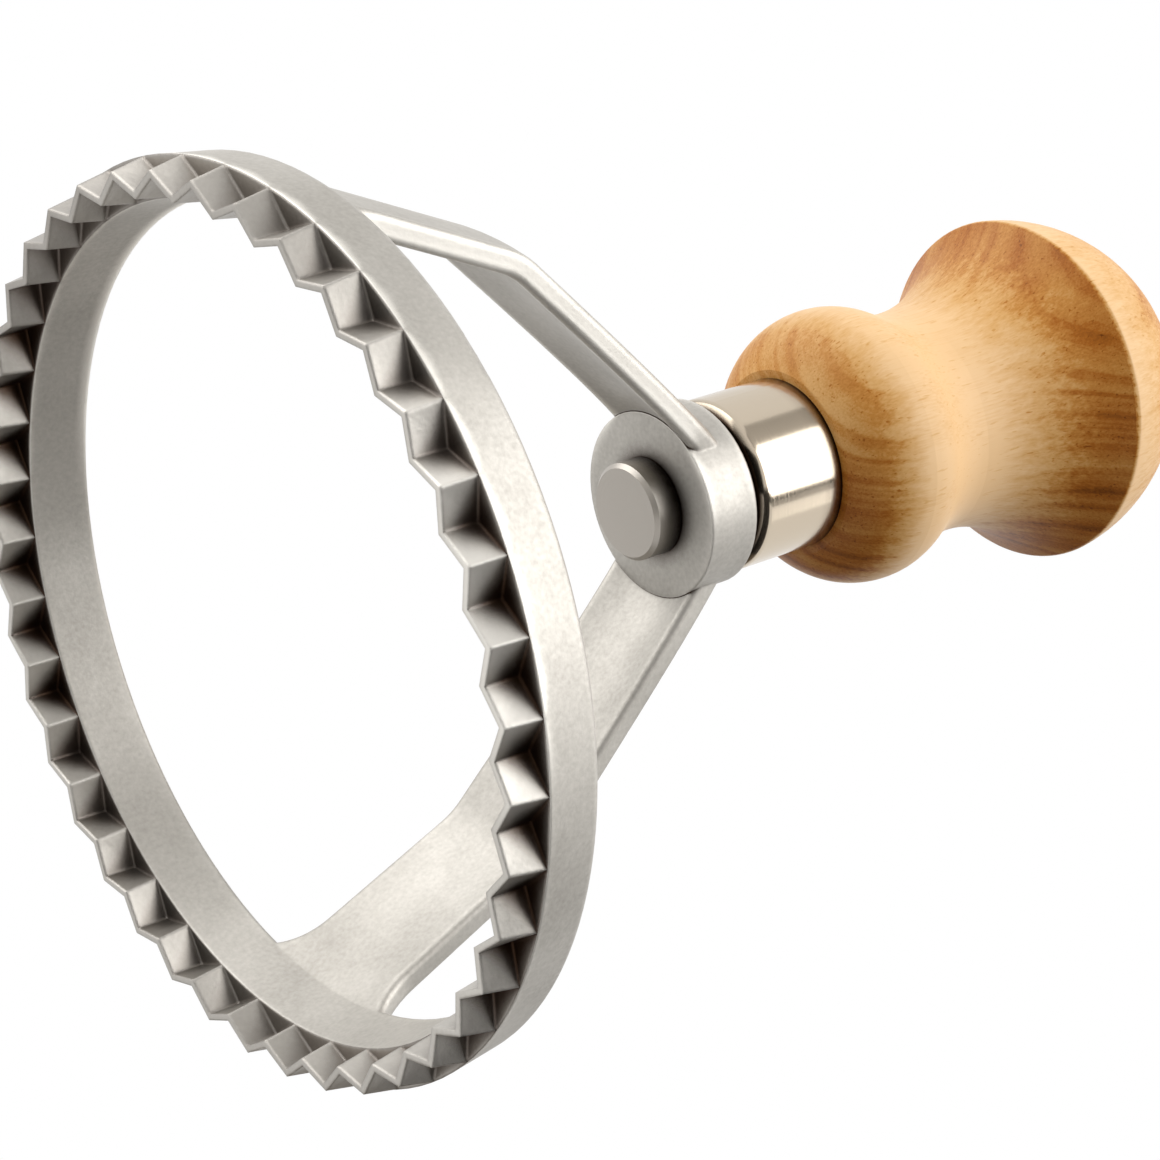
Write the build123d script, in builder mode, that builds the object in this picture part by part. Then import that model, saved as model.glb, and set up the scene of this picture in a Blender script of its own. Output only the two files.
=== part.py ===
from build123d import *
import os
from math import cos, pi, sin

# Round ravioli cutter, standing on its cutting edge with the handle up.
# The Z axis is the tool's own axis, z = 0 is the plane of the cutting edge,
# and the two arms of the yoke lie along +X and -X. Sizes are in millimetres.

# Cutting ring: a smooth band whose front carries a wall of zig-zag teeth
tooth_count = 40
tooth_height = 3.3
band_radius = 42.0  # outside of the band at the foot of the teeth
band_wall = 3.8
band_height = 5.7
band_lean = 0.7  # how far the band leans in between the teeth and its back
outer_ridge_lean = 0.7  # how far an outer ridge leans in towards the cutting edge
inner_ridge_lean = 0.45  # how far an inner ridge leans out towards the cutting edge
ridge_inset = 0.05  # step between a ridge's foot and the band's corner
edge_land = 0.7  # radial width of the flat land at the cutting edge
root_wall = 1.3  # radial width of the zig-zag wall at its foot
band_outer_round = 0.9
band_inner_round = 0.6

# Yoke: two arms, cut from one round bell, that rise from the band to the hub
arm_width = 13.4  # above the flare at the band
arm_neck_width = 11.8  # at the hub
arm_thickness = 2.3
arm_foot_radius = 38.7  # distance from the axis, at the band's back, of the wall's middle
arm_foot_sink = 1.2  # how deep the arm's foot sits in the band
arm_bend_radius = 29.9  # distance of the bend from the axis
arm_bend_height = 28.9
arm_bend_round = 9.0
arm_seat = 1.8  # height of the wall's middle above the hub's front, at the hub's side
arm_root = 1.2  # how far the arm runs into the hub
foot_flare = 4.2  # how far the arm's foot widens on each side
foot_flare_height = 5.0  # where the flare starts, above the band's back
arm_edge_round = 0.6

# Hub, bored for the pin
hub_radius = 9.1
hub_length = 5.8
hub_front = 48.3  # height of the hub's front face above the cutting edge
hub_edge_chamfer = 0.4

# Pin: a plain round head in front of the hub and a ringed shank driven into the wood
pin_radius = 3.0
pin_head_radius = 4.75
pin_head_height = 2.9
pin_head_chamfer = 0.4
pin_grip = 24.0  # length of shank beyond the ferrule's front
pin_tail_chamfer = 1.0
pin_ring_count = 6
pin_ring_pitch = 2.2
pin_ring_depth = 0.3
running_clearance = 0.05  # radial gap between the shank and the hub's bore
head_play = 0.2  # gap between the pin's head and the hub
ferrule_gap = 0.6  # gap between the hub and the ferrule

# Ferrule: a drawn cup over the handle's tenon
ferrule_radius = 8.5
ferrule_length = 10.5
ferrule_wall = 0.8
ferrule_corner = 1.5

# Turned wooden handle, heights above its shoulder at the ferrule
shoulder_radius = 9.3
bulb_radius = 13.85
bulb_height = 7.4
waist_radius = 11.4
waist_height = 16.8
knob_radius = 17.75
knob_height = 31.5
dome_height = 16.0
knob_edge_round = 0.7
bulb_share = 0.43  # share of the slope from bulb to waist that is still convex
tenon_chamfer = 1.0

# Places that follow from the sizes
ring_height = tooth_height + band_height
band_inner = band_radius - band_wall
hub_back = hub_front + hub_length
ferrule_front = hub_back + ferrule_gap
shoulder = ferrule_front + ferrule_length
pin_tail = ferrule_front + pin_grip
half_pitch = pi / tooth_count

os.makedirs("parts", exist_ok=True)


def zigzag(ridge, valley, first_ridge):
    """Points of a closed zig-zag, with ridges at every other half pitch."""
    radii = [ridge, valley] if first_ridge == 0 else [valley, ridge]
    return [
        (radii[i % 2] * cos(i * half_pitch), radii[i % 2] * sin(i * half_pitch))
        for i in range(2 * tooth_count)
    ]


# The cutter head is one casting: teeth, band, arms and hub.
# The teeth are the wall between two zig-zag skins. The outer skin has its ridges
# on the arms' centre lines, the inner skin half a pitch away, and both skins
# lean together towards the cutting edge. The band's front shows between the
# ridges as small triangular ledges.
outer_foot = band_radius - ridge_inset
inner_foot = band_inner + ridge_inset
outer_edge = outer_foot - outer_ridge_lean
inner_edge = inner_foot + inner_ridge_lean

# Middle line of the bell's wall. It starts below the arms' flat feet and ends in the hub.
foot_lean = (arm_foot_radius - arm_bend_radius) / (arm_bend_height - ring_height)
foot_depth = arm_foot_sink + arm_thickness
foot_point = (arm_foot_radius + foot_lean * foot_depth, ring_height - foot_depth)
bend_point = (arm_bend_radius, arm_bend_height)
hub_point = (hub_radius, hub_front + arm_seat)
hub_rise = (hub_point[1] - bend_point[1]) / (bend_point[0] - hub_point[0])
root_point = (hub_radius - arm_root, hub_point[1] + hub_rise * arm_root)

with BuildPart() as arms:
    with BuildSketch(Plane.YZ):
        with BuildLine():
            FilletPolyline(foot_point, bend_point, root_point, radius=arm_bend_round)
        trace(line_width=arm_thickness)
    revolve(axis=Axis.Z)
    # What is left of the bell, seen along X: two arms whose feet flare into the band
    half = arm_width / 2
    neck = arm_neck_width / 2
    foot = half + foot_flare
    foot_cut = ring_height - arm_foot_sink
    flare_top = ring_height + foot_flare_height
    with BuildSketch(Plane.YZ):
        with BuildLine():
            Polyline((half, flare_top), (neck, hub_back), (-neck, hub_back), (-half, flare_top))
            TangentArc((half, flare_top), (foot, foot_cut), tangent=(half - neck, flare_top - hub_back))
            TangentArc((-half, flare_top), (-foot, foot_cut), tangent=(neck - half, flare_top - hub_back))
            Line((-foot, foot_cut), (foot, foot_cut))
        make_face()
    extrude(amount=band_radius, both=True, mode=Mode.INTERSECT)
    # Soften the long edges; the square ends are buried in band and hub
    long_edges = arms.edges().filter_by(
        lambda e: e.geom_type in (GeomType.HYPERBOLA, GeomType.BSPLINE) and e.center().Z < hub_front
    )
    fillet(long_edges, arm_edge_round)

with BuildPart() as cutter_head:
    for edge_radii, foot_radii, first_ridge, mode in (
        ((outer_edge, inner_edge + edge_land), (outer_foot, inner_foot + root_wall), 0, Mode.ADD),
        ((inner_edge, outer_edge - edge_land), (inner_foot, outer_foot - root_wall), 1, Mode.SUBTRACT),
    ):
        with BuildSketch():
            Polygon(*zigzag(*edge_radii, first_ridge), align=None)
        with BuildSketch(Plane.XY.offset(tooth_height)):
            Polygon(*zigzag(*foot_radii, first_ridge), align=None)
        loft(ruled=True, mode=mode)

    # Smooth band behind the teeth
    with BuildSketch(Plane.XZ):
        with BuildLine():
            Polyline(
                (band_inner, tooth_height),
                (band_radius, tooth_height),
                (band_radius - band_lean, ring_height),
                (band_inner - band_lean, ring_height),
                close=True,
            )
        face = make_face()
        back = face.vertices().group_by(Axis.Y)[-1].sort_by(Axis.X)
        fillet(back[-1], band_outer_round)
        fillet(face.vertices().group_by(Axis.Y)[-1].sort_by(Axis.X)[0], band_inner_round)
    revolve(axis=Axis.Z)

    # Both arms, then the hub with its bore
    add(arms.part)
    with BuildSketch(Plane.XY.offset(hub_front)):
        Circle(hub_radius)
    extrude(amount=hub_length)
    with Locations((0, 0, hub_back)):
        Hole(pin_radius + running_clearance)
    rims = cutter_head.edges().filter_by(GeomType.CIRCLE).filter_by(
        lambda e: abs(e.radius - hub_radius) < running_clearance
    )
    chamfer(rims.sort_by(Axis.Z)[-1], hub_edge_chamfer)
cutter_head.part.label = "cutter_head"
export_step(cutter_head.part, "parts/cutter_head.step")


# The pin's head is a plain button in front of the hub. Its shank runs through the
# bore and the ferrule, and shallow rings hold it in the wood.
with BuildPart() as pivot_pin:
    head_back = hub_front - head_play
    with BuildSketch(Plane.XY.offset(head_back - pin_head_height)):
        Circle(pin_head_radius)
    extrude(amount=pin_head_height)
    chamfer(pivot_pin.edges().group_by(Axis.Z)[0], pin_head_chamfer)
    with BuildSketch(Plane.XY.offset(head_back)):
        Circle(pin_radius)
    extrude(amount=pin_tail - head_back)
    chamfer(pivot_pin.edges().group_by(Axis.Z)[-1], pin_tail_chamfer)
    first_ring = pin_tail - pin_tail_chamfer - pin_ring_pitch
    with BuildSketch(Plane.XZ):
        for ring in range(pin_ring_count):
            z = first_ring - ring * pin_ring_pitch
            with BuildLine():
                Polyline(
                    (pin_radius, z),
                    (pin_radius - pin_ring_depth, z),
                    (pin_radius, z - pin_ring_pitch / 2),
                    close=True,
                )
            make_face()
    revolve(axis=Axis.Z, mode=Mode.SUBTRACT)
pivot_pin.part.label = "pivot_pin"
export_step(pivot_pin.part, "parts/pivot_pin.step")

# The ferrule is a drawn cup: closed in front around the shank, open behind.
tenon_radius = ferrule_radius - ferrule_wall
tenon_front = ferrule_front + ferrule_wall
with BuildPart() as ferrule:
    with BuildSketch(Plane.XY.offset(ferrule_front)):
        Circle(ferrule_radius)
    extrude(amount=ferrule_length)
    fillet(ferrule.edges().group_by(Axis.Z)[0], ferrule_corner)
    with BuildSketch(Plane.XY.offset(tenon_front)):
        Circle(tenon_radius)
    extrude(amount=ferrule_length, mode=Mode.SUBTRACT)
    with Locations((0, 0, tenon_front)):
        Hole(pin_radius)
ferrule.part.label = "ferrule"
export_step(ferrule.part, "parts/ferrule.step")

# The handle is turned in one piece: a tenon inside the ferrule, a round bulb,
# a waist, and a flare that ends in a crisp edge under the domed knob.
with BuildPart() as wooden_handle:
    bulb = (bulb_radius, shoulder + bulb_height)
    waist = (waist_radius, shoulder + waist_height)
    knob = (knob_radius, shoulder + knob_height)
    top = (0, knob[1] + dome_height)
    turn = (
        bulb[0] + bulb_share * (waist[0] - bulb[0]),
        bulb[1] + bulb_share * (waist[1] - bulb[1]),
    )
    with BuildSketch(Plane.XZ):
        with BuildLine():
            Polyline(
                top,
                (0, tenon_front),
                (tenon_radius - tenon_chamfer, tenon_front),
                (tenon_radius, tenon_front + tenon_chamfer),
                (tenon_radius, shoulder),
                (shoulder_radius, shoulder),
            )
            TangentArc(bulb, (shoulder_radius, shoulder), tangent=(0, -1))
            TangentArc(bulb, turn, tangent=(0, 1))
            TangentArc(waist, turn, tangent=(0, -1))
            TangentArc(waist, knob, tangent=(0, 1))
            TangentArc(top, knob, tangent=(1, 0))
        outline = make_face()
        fillet(outline.vertices().sort_by(Axis.X)[-1], knob_edge_round)
    revolve(axis=Axis.Z)
    with BuildSketch(Plane.XY.offset(tenon_front)):
        Circle(pin_radius)
    extrude(amount=pin_tail - tenon_front, mode=Mode.SUBTRACT)
wooden_handle.part.label = "wooden_handle"
export_step(wooden_handle.part, "parts/wooden_handle.step")
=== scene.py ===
from math import radians

import bmesh
import bpy
from mathutils import Matrix, Vector

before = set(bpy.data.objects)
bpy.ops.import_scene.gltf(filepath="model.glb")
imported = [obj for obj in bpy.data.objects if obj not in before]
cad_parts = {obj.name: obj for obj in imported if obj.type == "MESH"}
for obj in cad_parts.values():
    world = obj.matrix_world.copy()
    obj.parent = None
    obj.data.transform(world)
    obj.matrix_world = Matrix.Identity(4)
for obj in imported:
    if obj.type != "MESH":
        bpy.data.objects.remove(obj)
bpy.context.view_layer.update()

# Cutter head: the toothed ring, its two arms and the hub, one aluminium casting.
# It is cast in a mould and tumbled, so its skin is finely grained and its edges are
# slightly rounded; the hub turns on the pin.

MM = 0.001  # the frame is in metres, sizes here are written in millimetres
noise_low, noise_high = 0.3, 0.7  # nearly all of a noise lies between these

skin_dark = "#a7a39c"
skin_light = "#bfbbb4"
skin_dark_rough = 0.58
skin_light_rough = 0.5
tooth_rough = 0.4
edge_round = 0.45  # rounding that tumbling leaves on an edge
grain_size = 0.45
grain_depth = 0.06
grain_strength = 0.25
grain_share = 0.42  # of the mottling; the rest is clouds
cloud_size = 9.0
teeth_end, band_start = 3.32, 3.42  # heights between which the teeth give way to the band

# Metal is rubbed bright where little of it lies behind the surface, as at an edge; the brightness is
# partly real wear and partly painted highlight.
worn_highlight_colour = "#f2eee6"
worn_rough = 0.48
wear_reach = 2.25
wear_none, wear_full = 0.68, 0.55  # share of metal behind a spot
lit_side_from, lit_side_to = 0.0, 9.0  # towards the +X arm, the edges are brighter: painted highlight, as that side takes more light
lit_side_least, lit_side_most = 0.12, 0.95
lit_teeth_toward = (0.391, 0.921, 0.0)  # on this side, the teeth are brighter: painted highlight
lit_teeth_from, lit_teeth_to = 34.5, 40.5
lit_teeth_least, lit_teeth_most = 0.25, 0.7

# Painted shade: the metal is darkened where other metal stands over it, as in the roots of the teeth.
painted_shade_colour = "#3d2c21"
shade_reach = 3.0
shade_deep, shade_open = 0.4, 0.88  # share of open air over a spot
teeth_shade_share = 0.18  # share taken off on the teeth, so that they get more painted shade
arms_from, arms_to = 19.0, 41.0  # towards the arms, the roots get less painted shade and the teeth more
arms_root = 0.5
arms_tooth = 0.72
shaded_teeth_toward = (0.707, -0.707, 0.0)  # on this side, the teeth are darker too: painted shade
shaded_teeth_from, shaded_teeth_to = 28.0, 40.0
shaded_teeth_share = 0.62


def linear(hex_colour):
    """An sRGB hex colour as the linear RGBA that a socket takes."""
    channels = [int(hex_colour[i : i + 2], 16) / 255 for i in (1, 3, 5)]
    return [c / 12.92 if c <= 0.04045 else ((c + 0.055) / 1.055) ** 2.4 for c in channels] + [1.0]


def add_node(tree, kind, settings=None, **inputs):
    """Adds a node. An input is a value, or an output socket to link; it is given by its name,
    with _ for spaces, or by its number after an i."""
    made = tree.nodes.new(kind)
    for name, value in (settings or {}).items():
        setattr(made, name, value)
    for name, value in inputs.items():
        key = int(name[1:]) if name[0] == "i" and name[1:].isdigit() else name.replace("_", " ")
        if isinstance(value, bpy.types.NodeSocket):
            tree.links.new(value, made.inputs[key])
        else:
            made.inputs[key].default_value = value
    return made


def new_material(name):
    """A material, its node tree and its Principled shader."""
    material = bpy.data.materials.new(name)
    material.use_nodes = True
    return material, material.node_tree, material.node_tree.nodes["Principled BSDF"]


# The eye gets a soft grey satin with fine grain and faint clouds, bright edges that are partly rubbed
# and partly painted highlight, and glossier teeth whose painted shade goes brown-black towards their
# roots.
cast_aluminium, tree, shader = new_material("tumbled cast aluminium")
place = add_node(tree, "ShaderNodeTexCoord").outputs["Object"]
along = add_node(tree, "ShaderNodeSeparateXYZ", Vector=place).outputs
on_band = add_node(
    tree,
    "ShaderNodeMapRange",
    Value=along["Z"],
    From_Min=teeth_end * MM,
    From_Max=band_start * MM,
).outputs["Result"]

grain = add_node(
    tree, "ShaderNodeTexNoise", Vector=place, Scale=1 / (grain_size * MM), Detail=3.0
).outputs["Fac"]
clouds = add_node(
    tree, "ShaderNodeTexNoise", Vector=place, Scale=1 / (cloud_size * MM), Detail=4.0
).outputs["Fac"]
mottle = add_node(
    tree, "ShaderNodeMix", {"data_type": "FLOAT"}, Factor=grain_share, A=clouds, B=grain
).outputs["Result"]
lighter = add_node(
    tree, "ShaderNodeMapRange", Value=mottle, From_Min=noise_low, From_Max=noise_high
).outputs["Result"]
skin = add_node(
    tree,
    "ShaderNodeMix",
    {"data_type": "RGBA"},
    Factor=lighter,
    i6=linear(skin_dark),
    i7=linear(skin_light),
).outputs[2]

# Painted highlight: the edges brighten towards the +X arm.
lit_side_highlight = add_node(
    tree,
    "ShaderNodeMapRange",
    Value=along["X"],
    From_Min=lit_side_from * MM,
    From_Max=lit_side_to * MM,
    To_Min=lit_side_least,
    To_Max=lit_side_most,
).outputs["Result"]
# Painted highlight: the teeth brighten towards this side.
to_lit_teeth_side = add_node(
    tree, "ShaderNodeVectorMath", {"operation": "DOT_PRODUCT"}, i0=place, i1=lit_teeth_toward
).outputs["Value"]
lit_teeth_highlight = add_node(
    tree,
    "ShaderNodeMapRange",
    Value=to_lit_teeth_side,
    From_Min=lit_teeth_from * MM,
    From_Max=lit_teeth_to * MM,
    To_Min=lit_teeth_least,
    To_Max=lit_teeth_most,
).outputs["Result"]
# How strongly the edges are brightened, on the teeth and on the band: real wear, raised by painted
# highlight on the sides that take more light.
wear_and_highlight = add_node(
    tree, "ShaderNodeMapRange", Value=on_band, To_Min=lit_teeth_highlight, To_Max=lit_side_highlight
).outputs["Result"]
behind = add_node(
    tree, "ShaderNodeAmbientOcclusion", {"samples": 8, "inside": True}, Distance=wear_reach * MM
).outputs["AO"]
worn_and_highlight = add_node(
    tree, "ShaderNodeMapRange", Value=behind, From_Min=wear_none, From_Max=wear_full, To_Max=wear_and_highlight
).outputs["Result"]
skin = add_node(
    tree, "ShaderNodeMix", {"data_type": "RGBA"}, Factor=worn_and_highlight, i6=skin, i7=linear(worn_highlight_colour)
).outputs[2]

open_air = add_node(
    tree, "ShaderNodeAmbientOcclusion", {"samples": 8}, Distance=shade_reach * MM
).outputs["AO"]
teeth_shade = add_node(
    tree, "ShaderNodeMapRange", Value=on_band, To_Min=teeth_shade_share, To_Max=0.0
).outputs["Result"]
open_air = add_node(
    tree, "ShaderNodeMath", {"operation": "SUBTRACT"}, i0=open_air, i1=teeth_shade
).outputs[0]
to_arms = add_node(tree, "ShaderNodeMath", {"operation": "ABSOLUTE"}, i0=along["X"]).outputs[0]
root = add_node(
    tree,
    "ShaderNodeMapRange",
    Value=to_arms,
    From_Min=arms_from * MM,
    From_Max=arms_to * MM,
    To_Max=arms_root,
).outputs["Result"]
tooth_at_arms = add_node(
    tree,
    "ShaderNodeMapRange",
    Value=to_arms,
    From_Min=arms_from * MM,
    From_Max=arms_to * MM,
    To_Min=1.0,
    To_Max=arms_tooth,
).outputs["Result"]
# Painted shade: the teeth darken towards this side.
to_shaded_teeth_side = add_node(
    tree, "ShaderNodeVectorMath", {"operation": "DOT_PRODUCT"}, i0=place, i1=shaded_teeth_toward
).outputs["Value"]
tooth_at_side = add_node(
    tree,
    "ShaderNodeMapRange",
    Value=to_shaded_teeth_side,
    From_Min=shaded_teeth_from * MM,
    From_Max=shaded_teeth_to * MM,
    To_Min=1.0,
    To_Max=shaded_teeth_share,
).outputs["Result"]
tooth = add_node(
    tree, "ShaderNodeMath", {"operation": "MINIMUM"}, i0=tooth_at_side, i1=tooth_at_arms
).outputs[0]
face = add_node(
    tree, "ShaderNodeMapRange", Value=on_band, To_Min=tooth, To_Max=1.0
).outputs["Result"]
# Painted shade: brown-black where little open air lies over the metal.
unshaded = add_node(
    tree,
    "ShaderNodeMapRange",
    {"interpolation_type": "SMOOTHSTEP"},
    Value=open_air,
    From_Min=shade_deep,
    From_Max=shade_open,
    To_Min=root,
    To_Max=face,
).outputs["Result"]
colour = add_node(
    tree, "ShaderNodeMix", {"data_type": "RGBA"}, Factor=unshaded, i6=linear(painted_shade_colour), i7=skin
).outputs[2]

rounded = add_node(
    tree, "ShaderNodeBevel", {"samples": 6}, Radius=edge_round * MM
).outputs["Normal"]
grained = add_node(
    tree,
    "ShaderNodeBump",
    Strength=grain_strength,
    Distance=grain_depth * MM,
    Height=grain,
    Normal=rounded,
).outputs["Normal"]
satin = add_node(
    tree,
    "ShaderNodeMapRange",
    Value=mottle,
    From_Min=noise_low,
    From_Max=noise_high,
    To_Min=skin_dark_rough,
    To_Max=skin_light_rough,
).outputs["Result"]
satin = add_node(
    tree, "ShaderNodeMix", {"data_type": "FLOAT"}, Factor=worn_and_highlight, A=satin, B=worn_rough
).outputs["Result"]
satin = add_node(
    tree, "ShaderNodeMix", {"data_type": "FLOAT"}, Factor=on_band, A=tooth_rough, B=satin
).outputs["Result"]
tree.links.new(colour, shader.inputs["Base Color"])
tree.links.new(satin, shader.inputs["Roughness"])
tree.links.new(grained, shader.inputs["Normal"])
shader.inputs["Metallic"].default_value = 1.0

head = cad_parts["cutter_head"]
head.material_slots[0].material = cast_aluminium

# Pivot pin: a steel pin, turned in a lathe, with a plain button head in front of the hub.
# Its shank runs through the hub and is driven into the wood.

steel_colour = "#b0aaa2"
steel_rough = 0.38
steel_shade_colour = "#1d1611"  # painted shade on the side close to the hub
steel_shade_reach = 3.5
steel_shaded, steel_open = 0.6, 1.0  # share of open air, from shaded to unshaded
turning_pitch = 0.25  # spacing of the lathe's marks on the head, drawn coarse enough to show
turning_depth = 0.05
turning_strength = 0.15

# The eye gets a grey sheen with faint rings round the axis, which darkens towards the hub with painted
# shade.
turned_steel, tree, shader = new_material("turned steel")
place = add_node(tree, "ShaderNodeTexCoord").outputs["Object"]
flat = add_node(
    tree, "ShaderNodeVectorMath", {"operation": "MULTIPLY"}, i0=place, i1=(1.0, 1.0, 0.0)
).outputs["Vector"]
radius = add_node(tree, "ShaderNodeVectorMath", {"operation": "LENGTH"}, i0=flat).outputs["Value"]
turning = add_node(
    tree,
    "ShaderNodeTexNoise",
    {"noise_dimensions": "1D"},
    W=radius,
    Scale=1 / (turning_pitch * MM),
    Detail=2.0,
).outputs["Fac"]
turned = add_node(
    tree,
    "ShaderNodeBump",
    Strength=turning_strength,
    Distance=turning_depth * MM,
    Height=turning,
).outputs["Normal"]
open_air = add_node(
    tree, "ShaderNodeAmbientOcclusion", {"samples": 8}, Distance=steel_shade_reach * MM
).outputs["AO"]
# Painted shade: the pin darkens where little open air lies over it, close to the hub.
pin_unshaded = add_node(
    tree,
    "ShaderNodeMapRange",
    {"interpolation_type": "SMOOTHSTEP"},
    Value=open_air,
    From_Min=steel_shaded,
    From_Max=steel_open,
).outputs["Result"]
colour = add_node(
    tree,
    "ShaderNodeMix",
    {"data_type": "RGBA"},
    Factor=pin_unshaded,
    i6=linear(steel_shade_colour),
    i7=linear(steel_colour),
).outputs[2]
tree.links.new(colour, shader.inputs["Base Color"])
tree.links.new(turned, shader.inputs["Normal"])
shader.inputs["Metallic"].default_value = 1.0
shader.inputs["Roughness"].default_value = steel_rough

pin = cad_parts["pivot_pin"]
pin.material_slots[0].material = turned_steel

# Ferrule: a cup drawn from thin sheet metal, nickel plated and polished on a wheel. It is
# pressed over the handle's tenon, and its closed front runs just behind the hub.

plate_colour = "#cdbfab"
plate_shade_colour = "#2a2018"  # painted shade on the front corner, behind the hub
plate_shade_reach = 2.6
plate_shaded, plate_open = 0.62, 0.98  # share of open air, from shaded to unshaded
plate_rough_least, plate_rough_most = 0.12, 0.2
wheel_line = 0.2  # width of the lines that the polishing wheel leaves round the ferrule
wheel_depth = 0.02
wheel_strength = 0.04

# The eye gets a mirror, broken by faint lines round the ferrule, that darkens towards the hub with
# painted shade.
bright_plate, tree, shader = new_material("polished nickel plate")
place = add_node(tree, "ShaderNodeTexCoord").outputs["Object"]
height = add_node(tree, "ShaderNodeSeparateXYZ", Vector=place).outputs["Z"]
wheel_lines = add_node(
    tree,
    "ShaderNodeTexNoise",
    {"noise_dimensions": "1D"},
    W=height,
    Scale=1 / (wheel_line * MM),
    Detail=3.0,
).outputs["Fac"]
gloss = add_node(
    tree,
    "ShaderNodeMapRange",
    Value=wheel_lines,
    From_Min=noise_low,
    From_Max=noise_high,
    To_Min=plate_rough_least,
    To_Max=plate_rough_most,
).outputs["Result"]
lined = add_node(
    tree,
    "ShaderNodeBump",
    Strength=wheel_strength,
    Distance=wheel_depth * MM,
    Height=wheel_lines,
).outputs["Normal"]
open_air = add_node(
    tree, "ShaderNodeAmbientOcclusion", {"samples": 8}, Distance=plate_shade_reach * MM
).outputs["AO"]
# Painted shade: the plate darkens where little open air lies over it, at the front corner behind the
# hub; this factor is 1 where none is painted.
polished = add_node(
    tree,
    "ShaderNodeMapRange",
    {"interpolation_type": "SMOOTHSTEP"},
    Value=open_air,
    From_Min=plate_shaded,
    From_Max=plate_open,
).outputs["Result"]
colour = add_node(
    tree,
    "ShaderNodeMix",
    {"data_type": "RGBA"},
    Factor=polished,
    i6=linear(plate_shade_colour),
    i7=linear(plate_colour),
).outputs[2]
tree.links.new(colour, shader.inputs["Base Color"])
tree.links.new(gloss, shader.inputs["Roughness"])
tree.links.new(lined, shader.inputs["Normal"])
shader.inputs["Metallic"].default_value = 1.0

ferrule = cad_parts["ferrule"]
ferrule.material_slots[0].material = bright_plate

# Handle: one piece of beech, turned on a lathe with its grain along the tool's axis, then
# oiled. Its tenon is pressed into the ferrule, and the two turn together.

beech_browns = ("#f8cf9b", "#e6b26f", "#d29247", "#b76d25", "#6b370b")  # dry to deep soaked; the darker browns also carry painted shade
beech_steps = (0.0, 0.33, 0.5, 0.68, 1.0)  # how soaked the wood of each brown is

# Where the surface faces the hub, and a little less on the dome, it is browner the more squarely it
# cuts the grain: partly end grain that soaks up more oil, partly painted shade, as the faces toward the
# hub take less light.
cut_long, cut_end = 0.08, 0.57  # slope of the surface to the grain, from long to end grain
dome_from, dome_to = 94.0, 98.0  # heights at the knob's edge, above which the dome begins
dome_share = 0.75
soak_height_from, soak_height_to = 70.0, 92.0  # heights between which the end grain on the +X side gets browner
plus_x_soak_low, plus_x_soak_high = 0.4, 0.55
shaded_x_from, shaded_x_to = 11.0, -7.0  # along X, from the +X side to the -X side, which gets painted shade
shaded_x_soak = 0.6

ring_spacing = 1.7
pith_place = (-28.2, -15.0, 0.0)  # from the middle of the tree, outside the handle, to its axis
pith_tilt = (0.05, -0.07, 0.0)
ring_low, ring_high = 0.36, 0.7  # the part of the rings' noise that shows
ring_pale, ring_dark = -0.35, 1.0
ring_on_long, ring_on_minus_x, ring_on_plus_x = 0.03, 0.2, 0.1  # how much of them shows on long grain, and on end grain at the -X and the +X side
even_from, even_to = 3.0, 12.0  # along X, from the strongly ringed -X side to the +X side

fibre_depth = 0.08
fibre_strength = 0.1
fibre_rough_least, fibre_rough_most = 0.36, 0.46
oil_sheen = 0.18  # low, because oil leaves the wood silky and not glossy

# Noises drawn out along the grain: name, width, length, octaves, the part of the noise that
# shows, and what it gives, as a share of the soak or, for the waver, as a length
grain_kinds = (
    ("ragged", 0.5, 6.0, 3.0, noise_low, noise_high, -0.08, 0.08),  # border of the end grain
    ("waver", 30.0, 90.0, 2.0, noise_low, noise_high, -1.3 * MM, 1.3 * MM),  # rings out of true
    ("streaks", 5.0, 24.0, 3.0, 0.38, 0.68, -0.06, 0.08),
    ("fibres", 0.18, 9.0, 3.0, 0.35, 0.7, -0.04, 0.08),
    ("flecks", 0.3, 2.4, 1.0, 0.66, 0.74, 0.0, 0.2),  # the small dashes that mark beech
)

# The eye gets pale, silky long grain with small dashes, and browner, more strongly ringed wood where
# the turned shape cuts across the grain, with painted shade on the faces toward the hub and on the -X
# side, all with the low sheen of oil.
beech, tree, shader = new_material("oiled beech")
here = add_node(tree, "ShaderNodeTexCoord").outputs
along = add_node(tree, "ShaderNodeSeparateXYZ", Vector=here["Object"]).outputs
noises = {}
figure = {}
for name, width, length, octaves, low, high, least, most in grain_kinds:
    stretched = add_node(
        tree,
        "ShaderNodeMapping",
        Vector=here["Object"],
        Scale=(1 / (width * MM), 1 / (width * MM), 1 / (length * MM)),
    ).outputs["Vector"]
    noises[name] = add_node(
        tree, "ShaderNodeTexNoise", Vector=stretched, Scale=1.0, Detail=octaves
    ).outputs["Fac"]
    figure[name] = add_node(
        tree,
        "ShaderNodeMapRange",
        Value=noises[name],
        From_Min=low,
        From_Max=high,
        To_Min=least,
        To_Max=most,
    ).outputs["Result"]

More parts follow.
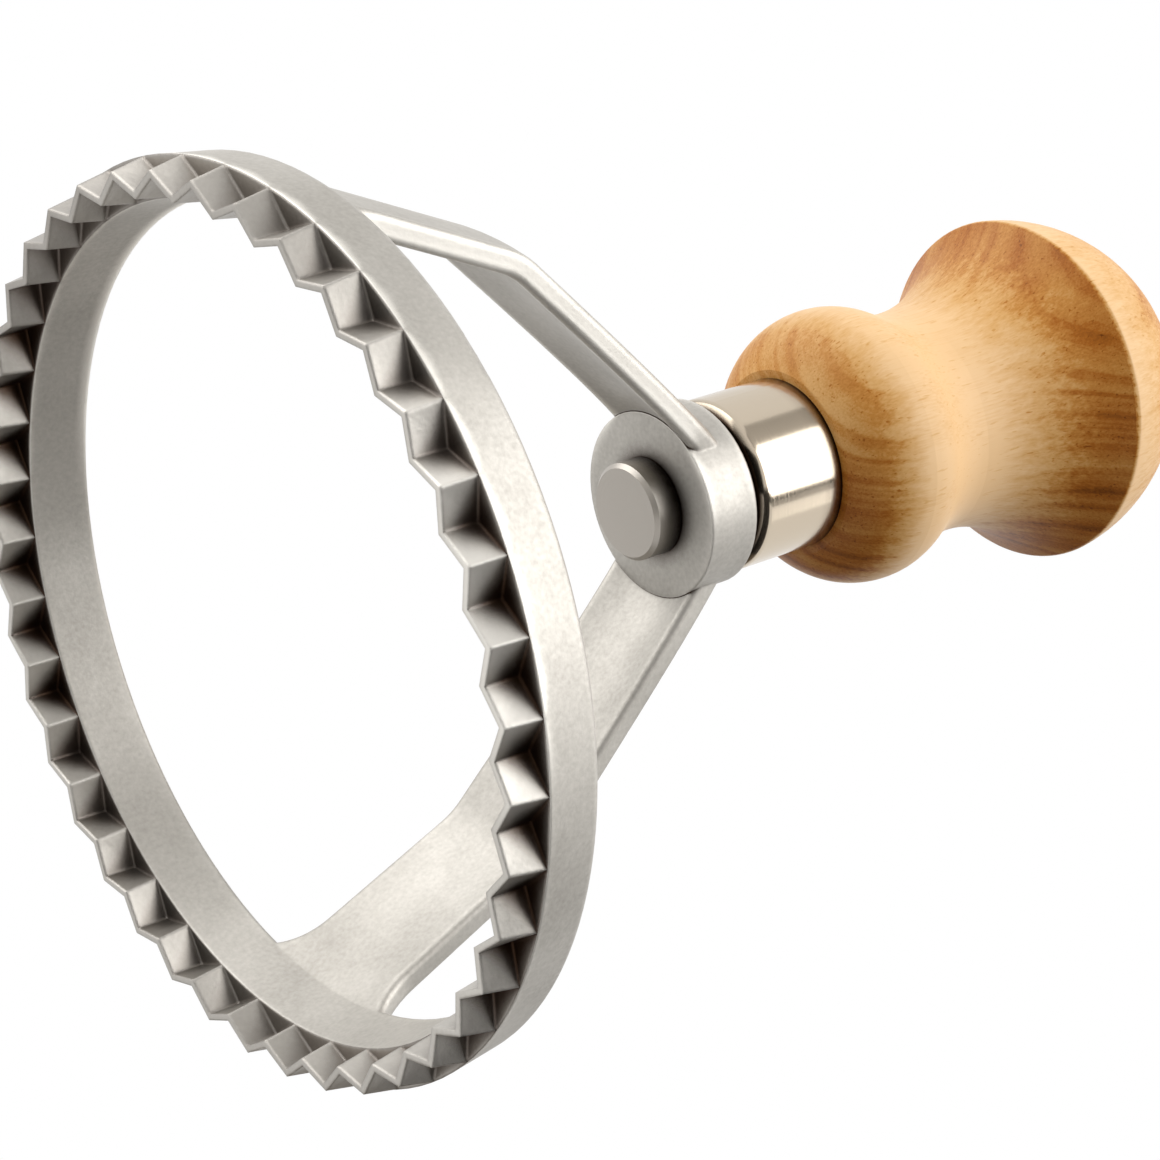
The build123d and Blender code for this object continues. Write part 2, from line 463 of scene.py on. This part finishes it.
upward = add_node(tree, "ShaderNodeSeparateXYZ", Vector=here["Normal"]).outputs["Z"]
on_dome = add_node(
    tree,
    "ShaderNodeMapRange",
    Value=along["Z"],
    From_Min=dome_from * MM,
    From_Max=dome_to * MM,
    To_Max=dome_share,
).outputs["Result"]
to_hub = add_node(tree, "ShaderNodeMath", {"operation": "MULTIPLY"}, i0=upward, i1=-1.0).outputs[0]
to_knob = add_node(
    tree, "ShaderNodeMath", {"operation": "MULTIPLY"}, i0=upward, i1=on_dome
).outputs[0]
across = add_node(tree, "ShaderNodeMath", {"operation": "MAXIMUM"}, i0=to_hub, i1=to_knob).outputs[0]
across = add_node(
    tree, "ShaderNodeMath", {"operation": "ADD"}, i0=across, i1=figure["ragged"]
).outputs[0]
end_grain_and_shade = add_node(
    tree, "ShaderNodeMapRange", Value=across, From_Min=cut_long, From_Max=cut_end
).outputs["Result"]
plus_x_soak = add_node(
    tree,
    "ShaderNodeMapRange",
    Value=along["Z"],
    From_Min=soak_height_from * MM,
    From_Max=soak_height_to * MM,
    To_Min=plus_x_soak_low,
    To_Max=plus_x_soak_high,
).outputs["Result"]
# Painted shade: the end grain is browner towards the -X side.
soak_by_side = add_node(
    tree,
    "ShaderNodeMapRange",
    {"interpolation_type": "SMOOTHSTEP"},
    Value=along["X"],
    From_Min=shaded_x_from * MM,
    From_Max=shaded_x_to * MM,
    To_Min=plus_x_soak,
    To_Max=shaded_x_soak,
).outputs["Result"]
soak_and_shade = add_node(
    tree, "ShaderNodeMath", {"operation": "MULTIPLY"}, i0=end_grain_and_shade, i1=soak_by_side
).outputs[0]

from_pith = add_node(
    tree,
    "ShaderNodeMapping",
    Vector=here["Object"],
    Location=tuple(c * MM for c in pith_place),
    Rotation=pith_tilt,
).outputs["Vector"]
from_pith = add_node(
    tree, "ShaderNodeVectorMath", {"operation": "MULTIPLY"}, i0=from_pith, i1=(1.0, 1.0, 0.0)
).outputs["Vector"]
from_pith = add_node(
    tree, "ShaderNodeVectorMath", {"operation": "LENGTH"}, i0=from_pith
).outputs["Value"]
year = add_node(
    tree, "ShaderNodeMath", {"operation": "ADD"}, i0=from_pith, i1=figure["waver"]
).outputs[0]
year = add_node(
    tree, "ShaderNodeMath", {"operation": "DIVIDE"}, i0=year, i1=ring_spacing * MM
).outputs[0]
rings = add_node(
    tree, "ShaderNodeTexNoise", {"noise_dimensions": "1D"}, W=year, Scale=1.0, Detail=4.0
).outputs["Fac"]
rings = add_node(
    tree,
    "ShaderNodeMapRange",
    Value=rings,
    From_Min=ring_low,
    From_Max=ring_high,
    To_Min=ring_pale,
    To_Max=ring_dark,
).outputs["Result"]
ring_on_end = add_node(
    tree,
    "ShaderNodeMapRange",
    Value=along["X"],
    From_Min=even_from * MM,
    From_Max=even_to * MM,
    To_Min=ring_on_minus_x,
    To_Max=ring_on_plus_x,
).outputs["Result"]
ring_show = add_node(
    tree, "ShaderNodeMapRange", Value=end_grain_and_shade, To_Min=ring_on_long, To_Max=ring_on_end
).outputs["Result"]
rings = add_node(
    tree, "ShaderNodeMath", {"operation": "MULTIPLY"}, i0=rings, i1=ring_show
).outputs[0]

for share in (rings, figure["streaks"], figure["fibres"], figure["flecks"]):
    soak_and_shade = add_node(tree, "ShaderNodeMath", {"operation": "ADD"}, i0=soak_and_shade, i1=share).outputs[0]
browns = add_node(tree, "ShaderNodeValToRGB", Fac=soak_and_shade)
for at, brown in zip(beech_steps[1:-1], beech_browns[1:-1]):
    browns.color_ramp.elements.new(at).color = linear(brown)
browns.color_ramp.elements[0].color = linear(beech_browns[0])
browns.color_ramp.elements[-1].color = linear(beech_browns[-1])
fibred = add_node(
    tree,
    "ShaderNodeBump",
    Strength=fibre_strength,
    Distance=fibre_depth * MM,
    Height=noises["fibres"],
).outputs["Normal"]
silk = add_node(
    tree,
    "ShaderNodeMapRange",
    Value=noises["fibres"],
    From_Min=noise_low,
    From_Max=noise_high,
    To_Min=fibre_rough_least,
    To_Max=fibre_rough_most,
).outputs["Result"]
tree.links.new(browns.outputs["Color"], shader.inputs["Base Color"])
tree.links.new(silk, shader.inputs["Roughness"])
tree.links.new(fibred, shader.inputs["Normal"])
shader.inputs["Specular IOR Level"].default_value = oil_sheen

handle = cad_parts["wooden_handle"]
handle.material_slots[0].material = beech

# Floor: a pale sheet that the tool stands on. Only the camera sees it, from above, and it
# fades outwards into the white surround.

floor_colour = "#e6e4e1"
floor_rough = 0.8
floor_glow = 0.45  # lifts the lit floor to the white of the surround
floor_half = 600.0
floor_fade_from, floor_fade_to = 150.0, 420.0  # distances from the tool's axis
floor_drop = 0.2  # the floor lies this far below the cutting edge

floor_mesh = bpy.data.meshes.new("floor")
sheet = bmesh.new()
bmesh.ops.create_grid(sheet, x_segments=1, y_segments=1, size=floor_half * MM)
bmesh.ops.translate(sheet, verts=sheet.verts, vec=(0, 0, -floor_drop * MM))
sheet.to_mesh(floor_mesh)
sheet.free()
floor = bpy.data.objects.new("floor", floor_mesh)
bpy.context.collection.objects.link(floor)
floor.visible_diffuse = False
floor.visible_glossy = False
floor.visible_shadow = False

# The eye gets plain white paper with the tool's soft shadow, and no edge to it.
floor_paper, tree, shader = new_material("pale floor")
shader.inputs["Base Color"].default_value = linear(floor_colour)
shader.inputs["Roughness"].default_value = floor_rough
shader.inputs["Emission Color"].default_value = linear("#ffffff")
shader.inputs["Emission Strength"].default_value = floor_glow
see_through = add_node(tree, "ShaderNodeBsdfTransparent").outputs["BSDF"]
place = add_node(tree, "ShaderNodeTexCoord").outputs["Object"]
distance = add_node(tree, "ShaderNodeVectorMath", {"operation": "LENGTH"}, i0=place).outputs["Value"]
faded = add_node(
    tree,
    "ShaderNodeMapRange",
    {"interpolation_type": "SMOOTHSTEP"},
    Value=distance,
    From_Min=floor_fade_from * MM,
    From_Max=floor_fade_to * MM,
).outputs["Result"]
from_below = add_node(tree, "ShaderNodeNewGeometry").outputs["Backfacing"]
unseen = add_node(
    tree, "ShaderNodeMath", {"operation": "MAXIMUM"}, i0=faded, i1=from_below
).outputs[0]
paper = add_node(tree, "ShaderNodeMixShader", i0=unseen, i1=shader.outputs["BSDF"], i2=see_through)
tree.links.new(paper.outputs["Shader"], tree.nodes["Material Output"].inputs["Surface"])
floor_mesh.materials.append(floor_paper)

# Studio light: a white surround, a large soft box in front of and above the tool, a weak one
# beside it, and one that fills from below. The surround is seen and mirrored at full white.

surround_light = 0.39  # its strength as light on the tool
lamp_distance = 700.0
tool_middle = Vector((0, 0, 45.0))
key_toward = Vector((0.308, 0.676, 0.669)).normalized()
key_width, key_height, key_power = 695.0, 720.0, 4.5
side_toward = Vector((-0.288, 0.479, 0.829)).normalized()
side_width, side_height, side_power = 270.0, 420.0, 0.3
fill_toward = Vector((0.785, -0.55, -0.285)).normalized()
fill_size, fill_power = 780.0, 4.3

world = bpy.data.worlds.new("white surround")
world.use_nodes = True
bpy.context.scene.world = world
tree = world.node_tree
rays = add_node(tree, "ShaderNodeLightPath").outputs
seen = add_node(
    tree, "ShaderNodeMath", {"operation": "MAXIMUM"}, i0=rays["Is Camera Ray"], i1=rays["Is Glossy Ray"]
).outputs[0]
seen = add_node(
    tree, "ShaderNodeMath", {"operation": "MAXIMUM"}, i0=seen, i1=rays["Is Transmission Ray"]
).outputs[0]
level = add_node(
    tree, "ShaderNodeMapRange", Value=seen, To_Min=surround_light, To_Max=1.0
).outputs["Result"]
surround = tree.nodes["Background"]
surround.inputs["Color"].default_value = linear("#ffffff")
tree.links.new(level, surround.inputs["Strength"])


def add_lamp(name, toward, width, height, power):
    """A soft box that faces the tool's middle from a direction, out of the camera's sight."""
    data = bpy.data.lights.new(name, "AREA")
    data.shape = "RECTANGLE"
    data.size = width * MM
    data.size_y = height * MM
    data.energy = power
    lamp = bpy.data.objects.new(name, data)
    lamp.location = (toward * lamp_distance + tool_middle) * MM
    lamp.rotation_mode = "QUATERNION"
    lamp.rotation_quaternion = toward.to_track_quat("Z", "Y")
    lamp.visible_camera = False
    bpy.context.collection.objects.link(lamp)


add_lamp("key", key_toward, key_width, key_height, key_power)
add_lamp("side", side_toward, side_width, side_height, side_power)
add_lamp("fill", fill_toward, fill_size, fill_size, fill_power)

# Cards: a dark bar and a white wall at the two sides of the large soft box, and a low curved
# screen, dark and then grey, round the tool's -X side. They give the metal its contrast.

card_rough = 0.9
bar_width = 175.0
wall_width = 430.0
screen_radius = 450.0
screen_bottom, screen_top = -150.0, 185.0
screen_steps = 12


def add_card(name, sheet, colour):
    """A card that the metal mirrors, out of the camera's sight."""
    mesh = bpy.data.meshes.new(name)
    sheet.to_mesh(mesh)
    sheet.free()
    card = bpy.data.objects.new(name, mesh)
    bpy.context.collection.objects.link(card)
    card.visible_camera = False
    # The eye gets only what the metal mirrors of it, an even matt tone.
    paint, _, shader = new_material(name)
    shader.inputs["Base Color"].default_value = linear(colour)
    shader.inputs["Roughness"].default_value = card_rough
    mesh.materials.append(paint)


key_turn = key_toward.to_track_quat("Z", "Y").to_matrix().to_4x4()
key_place = Matrix.Translation((key_toward * lamp_distance + tool_middle) * MM)
for name, width, side, colour in (
    ("soft box bar", bar_width, 1, "#1d1b1a"),
    ("soft box wall", wall_width, -1, "#f0eeec"),
):
    sheet = bmesh.new()
    bmesh.ops.create_grid(sheet, x_segments=1, y_segments=1, size=0.5)
    bmesh.ops.scale(sheet, vec=(width * MM, key_height * MM, 1.0), verts=sheet.verts)
    beside = side * (key_width + width) / 2
    bmesh.ops.translate(sheet, vec=(beside * MM, 0, 0), verts=sheet.verts)
    bmesh.ops.transform(sheet, matrix=key_place @ key_turn, verts=sheet.verts)
    add_card(name, sheet, colour)

for name, start, end, colour in (
    ("curved dark card", 85, 172, "#2b2826"),
    ("curved grey card", 172, 218, "#7f7465"),
):
    sheet = bmesh.new()
    first = [sheet.verts.new((screen_radius * MM, 0, z * MM)) for z in (screen_bottom, screen_top)]
    strip = [*first, sheet.edges.new(first)]
    bmesh.ops.rotate(sheet, matrix=Matrix.Rotation(radians(start), 3, "Z"), verts=first)
    bmesh.ops.spin(
        sheet,
        geom=strip,
        axis=(0, 0, 1),
        angle=radians(end - start),
        steps=screen_steps,
        use_merge=False,
    )
    add_card(name, sheet, colour)

# Camera: below the cutting edge, looking up through the ring along the tool, with one arm at
# the top of the picture and the handle to the right.

camera_place = Vector((116.16, 223.78, -136.0)) * MM
camera_forward = Vector((-0.392706, -0.723435, 0.567823))
camera_up = Vector((0.919503, -0.297289, 0.257165))
camera_lens = 102.12
camera_sensor = 36.0
camera_near = 10.0

camera_data = bpy.data.cameras.new("camera")
camera_data.lens = camera_lens
camera_data.sensor_width = camera_sensor
camera_data.clip_start = camera_near * MM
camera = bpy.data.objects.new("camera", camera_data)
camera_right = camera_forward.cross(camera_up)
camera_turn = Matrix((camera_right, camera_up, -camera_forward)).transposed().to_4x4()
camera.matrix_world = Matrix.Translation(camera_place) @ camera_turn
bpy.context.collection.objects.link(camera)
bpy.context.scene.camera = camera
bpy.context.scene.view_settings.view_transform = "Standard"

# Dark cloth: one more card, flat and behind the camera. The corners between the teeth mirror
# it straight back, so they stay dark.

cloth_half = 280.0
cloth_behind = 250.0

sheet = bmesh.new()
bmesh.ops.create_grid(sheet, x_segments=1, y_segments=1, size=cloth_half * MM)
cloth_place = Matrix.Translation(camera_place - camera_forward * cloth_behind * MM)
bmesh.ops.transform(sheet, matrix=cloth_place @ camera_turn, verts=sheet.verts)
add_card("dark cloth", sheet, "#2a2725")
